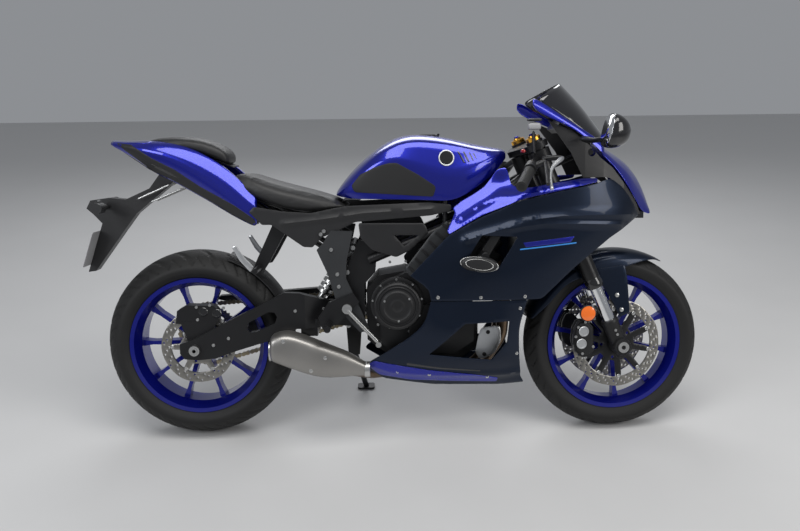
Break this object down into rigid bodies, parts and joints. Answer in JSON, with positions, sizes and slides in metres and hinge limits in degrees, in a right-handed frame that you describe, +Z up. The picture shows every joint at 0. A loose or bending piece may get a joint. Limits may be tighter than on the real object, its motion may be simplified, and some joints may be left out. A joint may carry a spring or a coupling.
{
  "type": "sport motorcycle",
  "caption": "Faired sport motorcycle on its side stand, with turning wheels, steering, side stand and hinged fuel cap.",
  "frame": {"origin": "ground level under the middle of the parked motorcycle's box", "axes": "+X forward along the motorcycle, +Y to its left, +Z up; it leans to +Y on its side stand"},
  "size_m": [2.0622, 0.766, 1.1508],
  "materials": {
    "blue_paint": "gloss",
    "navy_paint": "satin",
    "black_plastic": "matte",
    "black_metal": "satin",
    "grey_metal": "satin",
    "aluminium": "satin",
    "steel": "brushed",
    "chrome": "polished",
    "tyre": "matte",
    "rubber": "matte",
    "seat": "matte",
    "smoked": "gloss",
    "lamp": "gloss",
    "red_lens": "gloss",
    "plate": "matte"
  },
  "bodies": {
    "rear_wheel": {"rear_rim": "blue_paint", "rear_tyre": "tyre", "rear_disc": "steel", "rear_sprocket": "steel"},
    "front_wheel": {"front_rim": "blue_paint", "front_tyre": "tyre", "front_discs": "steel"},
    "fork": {"triple_clamps": "black_metal", "fork_tubes": "black_metal", "fork_legs": "chrome", "front_axle": "steel", "front_calipers": "black_metal", "front_fender": "navy_paint", "clip_on_bars": "black_metal", "grips": "rubber", "hand_controls": "black_metal"},
    "side_stand": {"side_stand": "steel"},
    "fuel_cap": {"fuel_cap": "aluminium"},
    "chassis": {"swingarm": "black_metal", "rear_axle": "steel", "rear_caliper": "black_metal", "chain": "steel", "chain_guard": "black_plastic", "crankcase": "black_metal", "engine_covers": "black_metal", "cylinders": "black_metal", "exhaust_header": "steel", "muffler": "grey_metal", "radiator": "black_metal", "main_frame": "black_metal", "frame_braces": "grey_metal", "subframe": "black_metal", "rear_shock": "steel", "fuel_tank": "blue_paint", "rider_seat": "seat", "pillion_seat": "seat", "tail_fairing": "blue_paint", "tail_underside": "black_plastic", "tail_light": "red_lens", "plate_hanger": "black_plastic", "licence_plate": "plate", "side_panels": "black_plastic", "nose_cowl": "blue_paint", "cowl_liners": "black_plastic", "windscreen": "smoked", "headlight": "lamp", "side_fairings": "navy_paint", "fairing_tops": "blue_paint", "lower_fairing": "navy_paint", "dash": "black_plastic", "mirrors": "black_plastic", "footrests": "aluminium", "foot_controls": "aluminium", "crash_pads": "black_plastic"}
  },
  "joints": [
    {"name": "rear_wheel_turn", "type": "hinge", "parent": "chassis", "child": "rear_wheel", "pos_m": [-0.66333, -0.12593, 0.31148], "axis": [-0.0002, 0.9833, -0.1822], "continuous": true},
    {"name": "steering", "type": "hinge", "parent": "chassis", "child": "fork", "pos_m": [0.47837, -0.04043, 0.77172], "axis": [-0.4006, 0.1669, 0.9009], "range_deg": [-32, 24]},
    {"name": "front_wheel_turn", "type": "hinge", "parent": "fork", "child": "front_wheel", "pos_m": [0.73157, -0.12606, 0.2949], "axis": [-0.0641, 0.9758, -0.2093], "continuous": true},
    {"name": "side_stand_fold", "type": "hinge", "parent": "chassis", "child": "side_stand", "pos_m": [-0.1584, -0.02532, 0.22829], "axis": [-0.2873, 0.9578, -0.0073], "range_deg": [0, 102]},
    {"name": "fuel_cap_lid", "type": "hinge", "parent": "chassis", "child": "fuel_cap", "pos_m": [0.14331, -0.00073, 0.98622], "axis": [-0.0002, 0.9833, -0.1822], "range_deg": [0, 95]}
  ]
}
